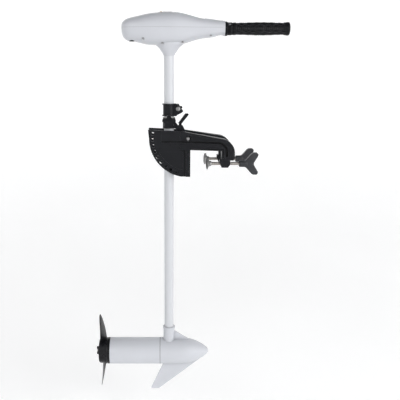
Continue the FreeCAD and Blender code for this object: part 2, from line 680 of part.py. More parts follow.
def tiller():
    """Bushing in the neck, drive rod, dial, extension tube and closed grip."""
    at = (0, S["tiller_z"])
    radius = S["tube_radius"]
    bushing = turned("tiller_bushing", "x", [
        (78, radius + 0.08), (78, S["bushing_radius"]), (94.9, S["bushing_radius"]), (94.9, 19.6),
        (100, 19.6), (102.6, 18), (102.6, radius + 0.08)])
    keep(place(bushing, 0, 0, S["tiller_z"]))
    keep(tube("drive_rod", "x", -146, 100, at, S["rod_thin"]))
    dial = turned("speed_dial", "x", [
        (S["dial_start"], radius + 0.3), (S["dial_start"], 16.8), (104, 17.6), (114, 17.2),
        (115, 16.4), (115, radius + 0.3)])
    keep(place(dial, 0, 0, S["tiller_z"]))
    keep(tube("extension_tube", "x", -45, 270, at, radius, 8.4))
    grip = turned("tiller_grip", "x", [
        (S["grip_start"], radius), (S["grip_start"], 16.2), (118, 17), (150, 17.4), (200, 18.6, -700),
        (240, 17.4, -700), (262, 17.2), (271, 18.6), (274.5, 17.6, -5), (S["grip_end"], 14),
        (S["grip_end"], 0), (270, 0), (270, radius)])
    keep(place(grip, 0, 0, S["tiller_z"]))


# ---- lower unit -----------------------------------------------------------------------------

def motor_piece(name, points):
    """A piece turned about the motor's axis."""
    return place(turned(name, "x", points), 0, 0, S["motor_z"])


def through_holes(prefix, low, high, radius):
    """Two bars along the motor, left and right, for the through bolts or their holes."""
    return [tube("%s_%s" % (prefix, side), "x", low, high, (y, S["motor_z"]), radius)
            for side, y in (("right", -S["bolt_offset"]), ("left", S["bolt_offset"]))]


def nose_cone():
    """Cast nose with shaft neck, web and skeg."""
    blunt = 58.4
    ogive = SIZES["ogive_radius"]
    drop = ogive - math.sqrt(ogive ** 2 - (blunt - SIZES["nose_shoulder"]) ** 2)
    blunt_radius = SIZES["motor_radius"] - drop
    body = motor_piece("nose_body", [
        (-95, 36), (-95, 38.7), (-93.6, 38.7), (-93.6, 37), (-91.4, 37), (-91.4, 38.7),
        (S["nose_start"], 38.7),
        (S["nose_start"], S["motor_radius"]), (S["nose_shoulder"], S["motor_radius"]),
        (blunt, blunt_radius, -S["ogive_radius"]), (S["nose_tip"], 0, -14), (-48, 0), (-48, 8), (-53.8, 8),
        (-53.8, 13), (-62.5, 13), (-62.5, 36)])
    neck = place(turned("nose_neck", "z", [
        (-600, 0), (-600, S["neck_radius"]), (-531.5, S["neck_radius"]), (-530.5, 18.9), (-526, 18.9),
        (S["neck_top"], 18), (S["neck_top"], 0)]),
        S["shaft_x"])
    web = prism("nose_web", "y", -3.5, 3.5, [(-55, -590), (-55, -536), (-44.5, -541), (2, -571), (12, -590)])
    half = S["skeg_thick"] * 0.5
    skeg = prism("nose_skeg", "y", -half, half, [
        (-66, -625), (-119, S["skeg_foot"] + 2), (-118, S["skeg_foot"]), (-94, S["skeg_foot"]),
        (50, -626.5), (50, -612), (40, -605), (-60, -605)])
    hollow = motor_piece("nose_hollow", [
        (-96, 0), (-96, 36), (-62.5, 36), (-62.5, 13), (-53.8, 13), (-53.8, 8), (-48, 8), (-48, 0)])
    solid = fuse("nose_solid", [body, neck, web, skeg])
    tools = [
        hollow,
        tube("nose_socket", "z", S["shaft_foot"], -520, (S["shaft_x"], 0), S["shaft_radius"]),
        tube("nose_lead_hole", "z", -580, -565, (-68, 0), 5),
    ] + through_holes("nose_bolt_hole", -96, -50, 2.3)
    keep(cut("nose_cone", solid, tools))


def end_bell():
    """Rear cover of the motor with seats for the bearing and the seal."""
    body = motor_piece("end_bell_body", [
        (-247.5, 10), (-247.5, 38.7), (-245.2, 38.7), (-245.2, 37), (-243, 37), (-243, 38.7), (-240, 38.7),
        (-240, 16.5), (-231, 16.5), (-231, 13), (-239.5, 13), (-239.5, 8), (-241.5, 8), (-241.5, 10)])
    tools = through_holes("bell_bolt_hole", -250, -238, 2.3)
    tools += through_holes("bell_bolt_seat", -250, -246.2, 3.4)
    keep(cut("end_bell", body, tools))


def motor_stator():
    """Motor tube, magnets, end cover, nose, seals, bearings and the long bolts."""
    at = (0, S["motor_z"])
    keep(tube("motor_tube", "x", S["motor_rear"], S["motor_front"], at, S["motor_radius"], S["motor_bore"]))
    ring = tube("magnet_ring", "x", -218, -132, at, S["motor_bore"], 32.6)
    gap_plan = [(-45, -13), (45, -13), (45, 13), (-45, 13)]
    gap = place(prism("magnet_gap", "x", -220, -130, gap_plan), 0, 0, S["motor_z"])
    keep(cut("magnets", ring, [gap]))
    nose_cone()
    end_bell()
    rings = [motor_piece("o_ring_" + end, [
        (low, 37.05), (low, 38.75), (low + 1.8, 38.75), (low + 1.8, 37.05)])
             for end, low in (("front", -93.4), ("rear", -245))]
    keep(fuse("o_rings", rings))
    bolts = through_holes("bolt_shank", -246.2, -50, 2.3) + through_holes("bolt_head", -247.4, -246.2, 3.3)
    keep(fuse("through_bolts", bolts))
    bore = S["axle_radius"] + S["running_gap"]
    races = [tube("bearing_" + end, "x", low, low + 8, at, 13, bore)
             for end, low in (("front", -62), ("rear", -239.3))]
    keep(fuse("motor_bearings", races))
    keep(tube("shaft_seal", "x", -247.2, -241.7, at, 10, bore))


def brush_gear():
    """Brush plate with two holders, and the two carbon brushes."""
    plate = motor_piece("brush_disc", [(-100, 19), (-100, 32.5), (-96, 32.5), (-96, 19)])
    rim = motor_piece("brush_rim", [(-97.5, 30), (-97.5, 36), (-95, 36), (-95, 30)])
    holders = [place(prism("holder_" + name, "z", low, high, [(-122, -7), (-97, -7), (-97, 7), (-122, 7)]),
                     0, 0, S["motor_z"]) for name, low, high in (("top", 18, 30), ("bottom", -30, -18))]
    pockets = [place(prism("pocket_" + name, "z", low, high, [(-119, -4), (-107, -4), (-107, 4), (-119, 4)]),
                     0, 0, S["motor_z"]) for name, low, high in (("top", 15, 28), ("bottom", -28, -15))]
    bolt_holes = through_holes("brush_bolt_hole", -101, -94, 2.35)
    keep(cut("brush_plate", fuse("brush_frame", [plate, rim] + holders), pockets + bolt_holes))
    brushes = [place(prism("brush_" + name, "z", low, high, [(-119, -4), (-107, -4), (-107, 4), (-119, 4)]),
                     0, 0, S["motor_z"]) for name, low, high in (("top", 15.3, 27), ("bottom", -27, -15.3))]
    keep(fuse("brushes", brushes))


def rotor():
    """Armature: shaft, slotted core, end windings and commutator."""
    radius = S["axle_radius"]
    shaft = motor_piece("axle_bar", [
        (-290.5, 0), (-290.5, 4), (-279, 4), (-279, radius), (-50, radius), (-50, 0)])
    pin_hole = place(tube("axle_pin_hole", "z", -20, 20, (-262, 0), 2.5), 0, 0, S["motor_z"])
    keep(cut("armature_shaft", shaft, [pin_hole]))
    at = (0, S["motor_z"])
    core = tube("core_disc", "x", -212, -138, at, 30.6, radius)
    slots = []
    for step in range(12):
        turn = math.radians(30 * step)
        y = 26.5 * math.cos(turn)
        z = S["motor_z"] + 26.5 * math.sin(turn)
        slots.append(tube("core_slot_%d" % step, "x", -213, -137, (y, z), 2.6))
    keep(cut("armature_core", core, slots))
    ends = [motor_piece("winding_" + end, [
        (low, 9), (low, 25), (low + 3, 28.5), (low + 9, 28.5), (low + 12, 25), (low + 12, 9)])
            for end, low in (("rear", -224), ("front", -138))]
    keep(fuse("windings", ends))
    keep(tube("commutator", "x", -122, -104, at, 15, radius))


def blade_section(radius, chord, back, hand):
    """Lens-shaped section of a blade at one radius, set at the blade's pitch angle."""
    angle = math.atan(S["blade_lead"].number / (2 * math.pi * radius))
    thick = 5.5 - 3.6 * radius / S["blade_tip"].number
    middle_x = -269.5 - back

    def at(along, across):
        x = middle_x + along * math.sin(angle) + across * math.cos(angle)
        y = along * math.cos(angle) - across * math.sin(angle)
        return FreeCAD.Vector(x, hand * y, S["motor_z"].number + hand * radius)

    half = chord / 2
    lead = at(half, 0)
    trail = at(-half, 0)
    crown = Part.Arc(trail, at(0, thick * 0.7), lead).toShape()
    belly = Part.Arc(lead, at(0, -thick * 0.3), trail).toShape()
    return Part.Wire([crown, belly])


def propeller():
    """Two-blade propeller, its drive pin, washer and winged nut."""
    hub = motor_piece("hub_body", [
        (S["hub_front"], 36), (S["hub_front"], 41), (-255.5, 41.3), (-256, 39.6), (-258, 39.6),
        (-258.5, 40.8), (S["hub_rear"] + 2.5, 38.4), (S["hub_rear"], 35.5, 4), (S["hub_rear"], 14),
        (-279, 14), (-279, 6.05), (-249.5, 6.05), (-249.5, 12), (-275, 14), (-277, 34)])
    slot = prism("pin_slot", "y", -2.6, 2.6, [
        (-264.6, -11.3), (-248, -11.3), (-248, 11.3), (-264.6, 11.3)])
    keyed = cut("hub_keyed", hub, [place(slot, 0, 0, S["motor_z"])])
    blades = []
    for name, hand in (("up", 1), ("down", -1)):
        sections = [blade_section(radius, chord, back, hand) for radius, chord, back in BLADE_SECTIONS]
        blades.append(shaped("blade_%s" % name, Part.makeLoft(sections, True, False)))
    keep(fuse("propeller", [keyed] + blades))
    keep(place(tube("drive_pin", "z", -11, 11, (-262, 0), 2.5), 0, 0, S["motor_z"]))
    keep(tube("prop_washer", "x", -280.6, -279, (0, S["motor_z"]), 11, 4))
    nut = new_body("nut_hex")

    def draw(sketch):
        turns = [math.radians(60 * corner) for corner in range(6)]
        outline(sketch, [(9 * math.cos(turn), 9 * math.sin(turn)) for turn in turns])
        circle(sketch, 0, 0, 4)

    solid_between(nut, "x", -288, -280.6, draw)
    place(nut, 0, 0, S["motor_z"])
    ears = []
    for name, low, high in (("top", 6, 12.5), ("bottom", -12.5, -6)):
        ear = prism("nut_ear_" + name, "y", -3, 3, [
            (-291.5, low), (-284, low), (-284, high), (-291.5, high)])
        ears.append(place(ear, 0, 0, S["motor_z"]))
    keep(fuse("prop_nut", [nut] + ears))


# ---- clamps ---------------------------------------------------------------------------------

def clamp(side, y):
    """Clamp screw with its cupped pad and Y-shaped wing."""
    pad = turned("clamp_pad_" + side, "x", [
        (47, 17.5), (49, 17.2), (53, 9), (61, 7), (61, S["rod_radius"] + S["running_gap"]),
        (53.5, S["rod_radius"] + S["running_gap"]), (53.5, 0), (50.5, 0), (50.2, 8)])
    keep(place(pad, 0, y, S["rod_z"]))
    rod = turned("clamp_screw_" + side, "x", [
        (54, 0), (54, 4), (55, S["rod_radius"]), (150, S["rod_radius"]), (150, 0)])
    keep(place(rod, 0, y, S["rod_z"]))
    hub = turned("wing_hub_" + side, "x", [
        (139.4, S["rod_radius"]), (139.4, 8.5), (142, 10), (158, 10), (163, 8), (163, 0), (150, 0),
        (150, S["rod_radius"])])
    lobes = prism("wing_lobes_" + side, "y", -6.5, 6.5, [
        (152, -7.5), (159, -11), (175, -29), (180, -31.5), (190, -31.5), (194, -27), (193, -22),
        (181.5, -3), (181.5, 3), (193, 22), (194, 27), (190, 31.5), (180, 31.5), (175, 29),
        (159, 11), (152, 7.5)])
    bore = tube("wing_bore_" + side, "x", 139, 150, (0, 0), S["rod_radius"])
    wing = cut("clamp_wing_" + side, fuse("wing_solid_" + side, [hub, lobes]), [bore])
    keep(place(wing, 0, y, S["rod_z"]))


# ---- assembly -------------------------------------------------------------------------------

def build():
    bracket_side()
    cross_plates()
    bracket_screws()
    pivot_bolt()
    swivel_bracket()
    swivel_liners()
    tilt_lock()
    tension_knob()
    depth_collar()
    shaft_tube()
    head_shells()
    head_fittings()
    tiller()
    motor_stator()
    brush_gear()
    rotor()
    propeller()
    clamp("right", -S["rod_y"])
    clamp("left", S["rod_y"])


def check_and_export():
    """Stop on any failed object or bad shape, then write one file for each sub-part."""
    doc.recompute()
    for thing in doc.Objects:
        if "Invalid" in thing.State or "Error" in thing.State:
            raise RuntimeError("failed object: " + thing.Label)
    for piece in PIECES:
        shape = piece.Shape
        if shape.isNull() or not shape.isValid() or not shape.Solids:
            raise RuntimeError("bad shape: " + piece.Label)
    os.makedirs("parts", exist_ok=True)
    for piece in PIECES:
        piece.Shape.exportStep("parts/%s.step" % piece.Label)


build()
check_and_export()
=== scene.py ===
import json
import math

import bmesh
import bpy
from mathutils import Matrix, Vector
from mathutils.bvhtree import BVHTree

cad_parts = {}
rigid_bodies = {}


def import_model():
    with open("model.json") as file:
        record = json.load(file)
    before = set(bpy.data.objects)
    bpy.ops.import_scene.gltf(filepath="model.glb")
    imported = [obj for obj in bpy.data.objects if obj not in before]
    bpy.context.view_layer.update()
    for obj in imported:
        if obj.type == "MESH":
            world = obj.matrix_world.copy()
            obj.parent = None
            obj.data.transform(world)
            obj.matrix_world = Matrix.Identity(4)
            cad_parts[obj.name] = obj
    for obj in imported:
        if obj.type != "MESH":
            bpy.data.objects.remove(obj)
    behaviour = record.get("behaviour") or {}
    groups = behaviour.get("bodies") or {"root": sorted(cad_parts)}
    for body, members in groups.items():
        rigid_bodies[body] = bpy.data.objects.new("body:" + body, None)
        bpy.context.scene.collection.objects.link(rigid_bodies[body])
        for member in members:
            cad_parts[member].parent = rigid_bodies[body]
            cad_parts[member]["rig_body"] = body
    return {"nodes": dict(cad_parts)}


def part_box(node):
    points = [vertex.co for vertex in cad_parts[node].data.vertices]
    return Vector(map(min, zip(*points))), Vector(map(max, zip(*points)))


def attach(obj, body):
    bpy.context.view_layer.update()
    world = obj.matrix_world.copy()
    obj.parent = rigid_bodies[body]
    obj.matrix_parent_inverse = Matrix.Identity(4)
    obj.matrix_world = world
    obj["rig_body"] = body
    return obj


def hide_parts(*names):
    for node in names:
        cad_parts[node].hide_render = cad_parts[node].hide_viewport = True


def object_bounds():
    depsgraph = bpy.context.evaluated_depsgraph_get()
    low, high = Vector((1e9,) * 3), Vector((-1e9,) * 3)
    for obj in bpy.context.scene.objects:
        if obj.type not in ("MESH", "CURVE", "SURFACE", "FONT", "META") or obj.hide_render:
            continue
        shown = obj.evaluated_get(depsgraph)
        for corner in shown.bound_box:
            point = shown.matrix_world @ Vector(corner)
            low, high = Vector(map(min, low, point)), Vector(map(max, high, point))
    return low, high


# Looks for a transom-mount electric trolling motor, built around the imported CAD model.
# Points of pieces are in millimetres and become metres in from_points. Shader sizes, surface
# searches, the camera, the floor and the lights are in metres.

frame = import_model()
cad_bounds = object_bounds()
NODES = frame["nodes"]
MM = 0.001
# Places of the colour sockets on a Mix node, whose names repeat for every kind of data.
MIX_FIRST, MIX_SECOND, MIX_RESULT = 6, 7, 2


# ---- materials ------------------------------------------------------------------------------

class Shader:
    """A node tree around one Principled shader, with short ways to add texture to it."""

    def __init__(self, name, rough, metal=0.0, coat=0.0, coat_rough=0.1, specular=0.5):
        self.material = bpy.data.materials.new(name)
        self.material.use_nodes = True
        self.tree = self.material.node_tree
        self.main = self.tree.nodes["Principled BSDF"]
        settings = {
            "Roughness": rough, "Metallic": metal, "Coat Weight": coat,
            "Coat Roughness": coat_rough, "Specular IOR Level": specular,
        }
        for socket, value in settings.items():
            self.main.inputs[socket].default_value = value
        coords = self.tree.nodes.new("ShaderNodeTexCoord")
        self.where = coords.outputs["Object"]
        self.height = None

    def link(self, source, target):
        self.tree.links.new(source, target)

    def stretched(self, scale):
        """Object coordinates with their own scale on each axis."""
        node = self.tree.nodes.new("ShaderNodeMapping")
        node.inputs["Scale"].default_value = scale
        self.link(self.where, node.inputs["Vector"])
        return node.outputs["Vector"]

    def noise(self, scale, detail=3.0, where=None):
        node = self.tree.nodes.new("ShaderNodeTexNoise")
        node.inputs["Scale"].default_value = scale
        node.inputs["Detail"].default_value = detail
        self.link(where or self.where, node.inputs["Vector"])
        return node.outputs["Fac"]

    def cells(self, scale):
        node = self.tree.nodes.new("ShaderNodeTexVoronoi")
        node.inputs["Scale"].default_value = scale
        self.link(self.where, node.inputs["Vector"])
        return node.outputs["Distance"]

    def ramp(self, source, low, high, dark, light):
        """Map a texture between two values to two colours, or two greys."""
        node = self.tree.nodes.new("ShaderNodeValToRGB")
        ends = node.color_ramp.elements
        ends[0].position, ends[1].position = low, high
        ends[0].color = as_colour(dark)
        ends[1].color = as_colour(light)
        self.link(source, node.inputs["Fac"])
        return node.outputs["Color"]

    def mix(self, factor, first, second):
        """The first colour where the factor is 0 and the second where it is 1."""
        node = self.tree.nodes.new("ShaderNodeMix")
        node.data_type = "RGBA"
        self.link(factor, node.inputs["Factor"])
        self.link(first, node.inputs[MIX_FIRST])
        if isinstance(second, tuple):
            node.inputs[MIX_SECOND].default_value = as_colour(second)
        else:
            self.link(second, node.inputs[MIX_SECOND])
        return node.outputs[MIX_RESULT]

    def edges(self, width):
        """White along edges, where a rounded normal leaves the true one, for wear and a painted highlight.
        """
        rounded = self.tree.nodes.new("ShaderNodeBevel")
        rounded.samples = 6
        rounded.inputs["Radius"].default_value = width
        true = self.tree.nodes.new("ShaderNodeNewGeometry")
        agree = self.tree.nodes.new("ShaderNodeVectorMath")
        agree.operation = "DOT_PRODUCT"
        self.link(rounded.outputs["Normal"], agree.inputs[0])
        self.link(true.outputs["Normal"], agree.inputs[1])
        return self.ramp(agree.outputs["Value"], low=0.86, high=0.995, dark=1.0, light=0.0)

    def painted_crevice_shade(self, reach, floor):
        """Painted shade: grey that falls from 1 in the open to a floor value in corners and grooves."""
        node = self.tree.nodes.new("ShaderNodeAmbientOcclusion")
        node.samples = 8
        node.inputs["Distance"].default_value = reach
        return self.ramp(node.outputs["AO"], low=0.35, high=0.95, dark=floor, light=1.0)

    def darkened(self, tone, shade):
        """A colour multiplied by a grey."""
        node = self.tree.nodes.new("ShaderNodeMix")
        node.data_type = "RGBA"
        node.blend_type = "MULTIPLY"
        node.inputs["Factor"].default_value = 1.0
        self.link(tone, node.inputs[MIX_FIRST])
        self.link(shade, node.inputs[MIX_SECOND])
        return node.outputs[MIX_RESULT]

    def colour(self, source):
        self.link(source, self.main.inputs["Base Color"])

    def roughness(self, source):
        self.link(source, self.main.inputs["Roughness"])

    def bump(self, source, strength, distance):
        """Add relief on top of any relief that the shader has already."""
        node = self.tree.nodes.new("ShaderNodeBump")
        node.inputs["Strength"].default_value = strength
        node.inputs["Distance"].default_value = distance
        self.link(source, node.inputs["Height"])
        if self.height is not None:
            self.link(self.height, node.inputs["Normal"])
        self.height = node.outputs["Normal"]
        self.link(self.height, self.main.inputs["Normal"])


def as_colour(value):
    """Four channels from a colour or a grey."""
    if isinstance(value, tuple):
        return value + (1.0,)
    return (value, value, value, 1.0)


def varied(colour, factor):
    """The same colour, darker or lighter."""
    return tuple(channel * factor for channel in colour)


def moulded(name, colour, rough, grain, depth, wear_and_highlight=None, **settings):
    """Moulded plastic or rubber: fine pebble grain, mottled gloss, painted shade in crevices and lighter
    edges that are partly wear and partly painted highlight.
    """
    shader = Shader(name, rough, **settings)
    mottle = shader.noise(scale=22.0, detail=4.0)
    tone = shader.ramp(mottle, low=0.3, high=0.7, dark=varied(colour, 0.88), light=varied(colour, 1.14))
    # Painted shade: the colour darkens strongly in corners and grooves.
    tone = shader.darkened(tone, shader.painted_crevice_shade(reach=0.012, floor=0.12))
    if wear_and_highlight is not None:
        # Lighter edges: partly wear, partly a painted highlight along rims, broken into patches.
        edge_wear_and_highlight = shader.mix(shader.edges(width=0.0014), tone, wear_and_highlight)
        patches = shader.noise(scale=160.0, detail=6.0)
        patchy_wear_and_highlight = shader.ramp(patches, low=0.3, high=0.62, dark=0.35, light=1.0)
        tone = shader.mix(patchy_wear_and_highlight, tone, edge_wear_and_highlight)
    shader.colour(tone)
    gloss = shader.noise(scale=75.0, detail=5.0)
    shader.roughness(shader.ramp(gloss, low=0.3, high=0.72, dark=rough - 0.07, light=rough + 0.1))
    shader.bump(shader.noise(scale=grain, detail=2.0), strength=0.22, distance=depth)
    shader.bump(shader.cells(scale=grain * 0.6), strength=0.1, distance=depth)
    return shader.material


def painted(name, colour, rough, peel, depth, flow=None, **settings):
    """White paint or gloss plastic: orange peel, faint pearl tone, a trace of dust and painted shade in
    corners.
    """
    shader = Shader(name, rough, **settings)
    where = shader.stretched(flow) if flow else shader.where
    cloud = shader.noise(scale=9.0, detail=5.0, where=where)
    tone = shader.ramp(cloud, low=0.3, high=0.75, dark=varied(colour, 0.955), light=varied(colour, 1.02))
    pearl = shader.ramp(shader.cells(scale=2600.0), low=0.1, high=0.75, dark=0.0, light=0.16)
    tone = shader.mix(pearl, tone, varied(colour, 1.09))
    specks = shader.noise(scale=320.0, detail=7.0)
    dust = shader.ramp(specks, low=0.58, high=0.85, dark=0.0, light=0.035)
    tone = shader.mix(dust, tone, varied(colour, 0.8))
    # Painted shade: the paint's colour darkens a little in corners and grooves.
    tone = shader.darkened(tone, shader.painted_crevice_shade(reach=0.014, floor=0.72))
    shader.colour(tone)
    gloss = shader.noise(scale=60.0, detail=6.0, where=where)
    shader.roughness(shader.ramp(gloss, low=0.3, high=0.75, dark=rough - 0.02, light=rough + 0.04))
    shader.bump(shader.noise(scale=peel, detail=2.0, where=where), strength=0.16, distance=depth)
    return shader.material


def metal(name, colour, rough, brush, depth):
    """Machined or drawn metal with directional brush lines and small stains."""
    shader = Shader(name, rough, metal=1.0)
    lines = shader.noise(scale=1.0, detail=3.0, where=shader.stretched(brush))
    tone = shader.ramp(lines, low=0.25, high=0.8, dark=varied(colour, 0.78), light=varied(colour, 1.1))
    spots = shader.noise(scale=90.0, detail=6.0)
    stain = shader.ramp(spots, low=0.55, high=0.8, dark=0.0, light=0.45)
    shader.colour(shader.mix(stain, tone, varied(colour, 0.55)))
    haze = shader.noise(scale=130.0, detail=5.0)
    shader.roughness(shader.ramp(haze, low=0.3, high=0.75, dark=rough - 0.06, light=rough + 0.14))
    shader.bump(lines, strength=0.25, distance=depth)
    return shader.material


def badge_finish():
    """Dark gloss lens whose tone runs from near black to deep teal."""
    shader = Shader("badge_dark", rough=0.16, coat=0.8, coat_rough=0.05)
    band = shader.noise(scale=1.0, detail=2.0, where=shader.stretched((28.0, 60.0, 5.0)))
    near_black, deep_teal = (0.006, 0.012, 0.014), (0.012, 0.075, 0.072)
    shader.colour(shader.ramp(band, low=0.34, high=0.72, dark=near_black, light=deep_teal))
    haze = shader.noise(scale=180.0, detail=5.0)
    shader.roughness(shader.ramp(haze, low=0.3, high=0.8, dark=0.1, light=0.24))
    shader.bump(shader.noise(scale=500.0, detail=2.0), strength=0.04, distance=0.00005)
    return shader.material


# Brush lines of metals run along one axis: low scale along it and high scale across.
ALONG_X, ALONG_Z = (40.0, 1500.0, 1500.0), (1500.0, 1500.0, 40.0)
MOTOR_WHITE = (0.54, 0.553, 0.588)

# The lighter edge colour of a finish stands for wear and for a painted highlight along rims.
MOULDED = {
    "bracket_black": dict(colour=(0.0105, 0.011, 0.013), rough=0.34, grain=1500.0, depth=0.0002,
                          wear_and_highlight=(0.045, 0.047, 0.052), specular=0.12),
    "knob_black": dict(colour=(0.006, 0.0063, 0.0075), rough=0.34, grain=1900.0, depth=0.00016,
                       wear_and_highlight=(0.055, 0.056, 0.06), specular=0.12),
    "wing_black": dict(colour=(0.03, 0.031, 0.035), rough=0.4, grain=1700.0, depth=0.00018,
                       wear_and_highlight=(0.11, 0.112, 0.118), specular=0.25),
    "rubber_black": dict(colour=(0.0052, 0.0055, 0.0066), rough=0.34, grain=2300.0, depth=0.0002,
                         wear_and_highlight=(0.12, 0.122, 0.13), specular=0.15),
    "propeller_black": dict(colour=(0.007, 0.0073, 0.0088), rough=0.32, grain=1100.0, depth=0.00012,
                            wear_and_highlight=(0.05, 0.051, 0.055), specular=0.2),
    "lead_red": dict(colour=(0.3, 0.02, 0.02), rough=0.42, grain=1500.0, depth=0.0001),
    "switch_resin": dict(colour=(0.16, 0.09, 0.045), rough=0.5, grain=1200.0, depth=0.00015),
    "ferrite": dict(colour=(0.05, 0.05, 0.055), rough=0.62, grain=900.0, depth=0.0003),
    "carbon": dict(colour=(0.035, 0.035, 0.038), rough=0.5, grain=2000.0, depth=0.0002),
    "panel_dark": dict(colour=(0.014, 0.015, 0.017), rough=0.24, grain=2600.0, depth=0.00005, coat=0.5),
    "seam_grey": dict(colour=(0.33, 0.335, 0.35), rough=0.6, grain=900.0, depth=0.00005),
    "gap_dark": dict(colour=(0.03, 0.03, 0.032), rough=0.65, grain=2200.0, depth=0.0001),
}
PAINTED = {
    "shell_white": dict(colour=(0.487, 0.498, 0.53), rough=0.3, peel=420.0, depth=0.00008,
                        coat=0.35, coat_rough=0.12),
    "tube_white": dict(colour=MOTOR_WHITE, rough=0.38, peel=620.0, depth=0.0001),
    "casting_white": dict(colour=MOTOR_WHITE, rough=0.4, peel=520.0, depth=0.00014),
    "shaft_grey": dict(colour=(0.555, 0.566, 0.592), rough=0.33, peel=500.0, depth=0.00006,
                       flow=(1.0, 1.0, 0.08), coat=0.2, coat_rough=0.15),
    "button_white": dict(colour=(0.6, 0.6, 0.61), rough=0.28, peel=600.0, depth=0.00005, coat=0.4),
    "nylon": dict(colour=(0.6, 0.59, 0.53), rough=0.42, peel=300.0, depth=0.0001),
    "mark_white": dict(colour=(0.62, 0.63, 0.65), rough=0.45, peel=900.0, depth=0.00004),
    "lamp_green": dict(colour=(0.16, 0.42, 0.2), rough=0.2, peel=900.0, depth=0.00004, coat=0.6),
    "lamp_amber": dict(colour=(0.6, 0.36, 0.06), rough=0.2, peel=900.0, depth=0.00004, coat=0.6),
}
METALS = {
    "stainless": dict(colour=(0.5, 0.47, 0.445), rough=0.3, brush=ALONG_X, depth=0.00004),
    "steel_dull": dict(colour=(0.3, 0.3, 0.3), rough=0.4, brush=ALONG_Z, depth=0.00005),
    "steel_black": dict(colour=(0.035, 0.035, 0.038), rough=0.42, brush=ALONG_Z, depth=0.00005),
    "brass_part": dict(colour=(0.62, 0.44, 0.2), rough=0.3, brush=ALONG_X, depth=0.00004),
    "core_steel": dict(colour=(0.23, 0.23, 0.25), rough=0.45, brush=ALONG_Z, depth=0.00006),
    "copper_part": dict(colour=(0.6, 0.26, 0.12), rough=0.35, brush=ALONG_X, depth=0.00005),
    "badge_edge": dict(colour=(0.1, 0.3, 0.3), rough=0.25, brush=ALONG_X, depth=0.00003),
}


def make_finishes():
    """Every material by name."""
    finishes = {"badge_dark": badge_finish()}
    for maker, table in ((moulded, MOULDED), (painted, PAINTED), (metal, METALS)):
        for name, values in table.items():
            finishes[name] = maker(name, **values)
    return finishes


FINISH = make_finishes()
# Nodes whose look differs from the finish that their record slot is named after.
REFINISHED = {
    "pivot_bolt": "steel_dull", "pivot_nut": "steel_dull", "collar_bolt": "steel_dull",
    "lever_pin": "steel_black", "bracket_screws": "steel_black", "lock_pin_right": "steel_black",
    "lock_pin_left": "steel_black", "lock_pull_rod": "steel_dull", "tension_screw": "steel_black",
    "clamp_wing_right": "wing_black", "clamp_wing_left": "wing_black", "head_screws": "steel_dull",
}
SLOT_OF = {name: node.data.materials[0].name.split(".")[0] for name, node in NODES.items()}
for name, node in NODES.items():
    node.data.materials[0] = FINISH[REFINISHED.get(name, SLOT_OF[name])]


# ---- mesh helpers ---------------------------------------------------------------------------

def finished(obj, finish, body, replaced=(), sharp=32.0, weighted=False):
    """Give a new mesh its finish (None keeps its own), smooth shading, body, slot and replaced nodes."""
    mesh = obj.data
    if finish is not None:
        mesh.materials.append(FINISH[finish])
    mesh.shade_smooth()
    mesh.set_sharp_from_angle(angle=math.radians(sharp))
    if weighted:
        modifier = obj.modifiers.new("weighted", "WEIGHTED_NORMAL")
        modifier.keep_sharp = True
    if replaced:
        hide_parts(*replaced)
    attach(obj, body)


def new_object(name, data):
    """An object in the scene round a mesh, a light, a camera or a text."""
    obj = bpy.data.objects.new(name, data)
    bpy.context.scene.collection.objects.link(obj)
    return obj


def from_points(name, points, faces):
    """An object from points in millimetres."""
    mesh = bpy.data.meshes.new(name)
    mesh.from_pydata([tuple(c * MM for c in p) for p in points], [], faces)
    mesh.validate()
    return new_object(name, mesh)


def turns(around):
    """Angles of equal steps round a circle."""
    return [2 * math.pi * k / around for k in range(around)]


def hoop(x, y, z, radius, around):
    """Ring of points round a line along X, from straight above its centre."""
    return [(x, y + radius * math.sin(turn), z + radius * math.cos(turn)) for turn in turns(around)]


def from_rings(name, rings, closed=False):
    """Skin a list of equal rings of points; cap both ends unless the last joins the first."""
    count = len(rings[0])
    points = [point for ring in rings for point in ring]
    faces = []
    spans = len(rings) if closed else len(rings) - 1
    for r in range(spans):
        here, there = r * count, (r + 1) % len(rings) * count
        for k in range(count):
            after = (k + 1) % count
            faces.append((here + k, here + after, there + after, there + k))
    if not closed:
        faces.append(tuple(range(count))[::-1])
        faces.append(tuple(range(len(points) - count, len(points))))
    obj = from_points(name, points, faces)
    face_outward(obj.data)
    return obj


def face_outward(mesh):
    """Turn every face of a closed mesh outward."""
    bm = bmesh.new()
    bm.from_mesh(mesh)
    bmesh.ops.recalc_face_normals(bm, faces=bm.faces)
    bm.to_mesh(mesh)
    bm.free()


def welded(node):
    """The CAD node's mesh as a bmesh with its seams joined."""
    bm = bmesh.new()
    bm.from_mesh(NODES[node].data)
    bmesh.ops.remove_doubles(bm, verts=bm.verts, dist=1e-6)
    return bm


def softened(node, width, steps=2, angle=34.0, flatten=0.6):
    """A copy of a CAD node with edges sharper than an angle in degrees rounded over."""
    bm = welded(node)
    bmesh.ops.dissolve_limit(
        bm, angle_limit=math.radians(flatten), verts=bm.verts, edges=bm.edges,
        use_dissolve_boundaries=False)
    limit = math.radians(angle)
    sharp = [edge for edge in bm.edges if edge.is_manifold and edge.calc_face_angle(0.0) > limit]
    bmesh.ops.bevel(
        bm, geom=sharp, offset=width * MM, offset_type="OFFSET", segments=steps, profile=0.5,
        affect="EDGES", clamp_overlap=True)
    mesh = bpy.data.meshes.new(node + "_soft")
    bm.to_mesh(mesh)
    bm.free()
    obj = new_object(node + "_soft", mesh)
    cad = NODES[node]
    mesh.materials.clear()
    mesh.materials.append(cad.data.materials[0])
    finished(obj, None, cad["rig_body"], replaced=(node,), weighted=True)


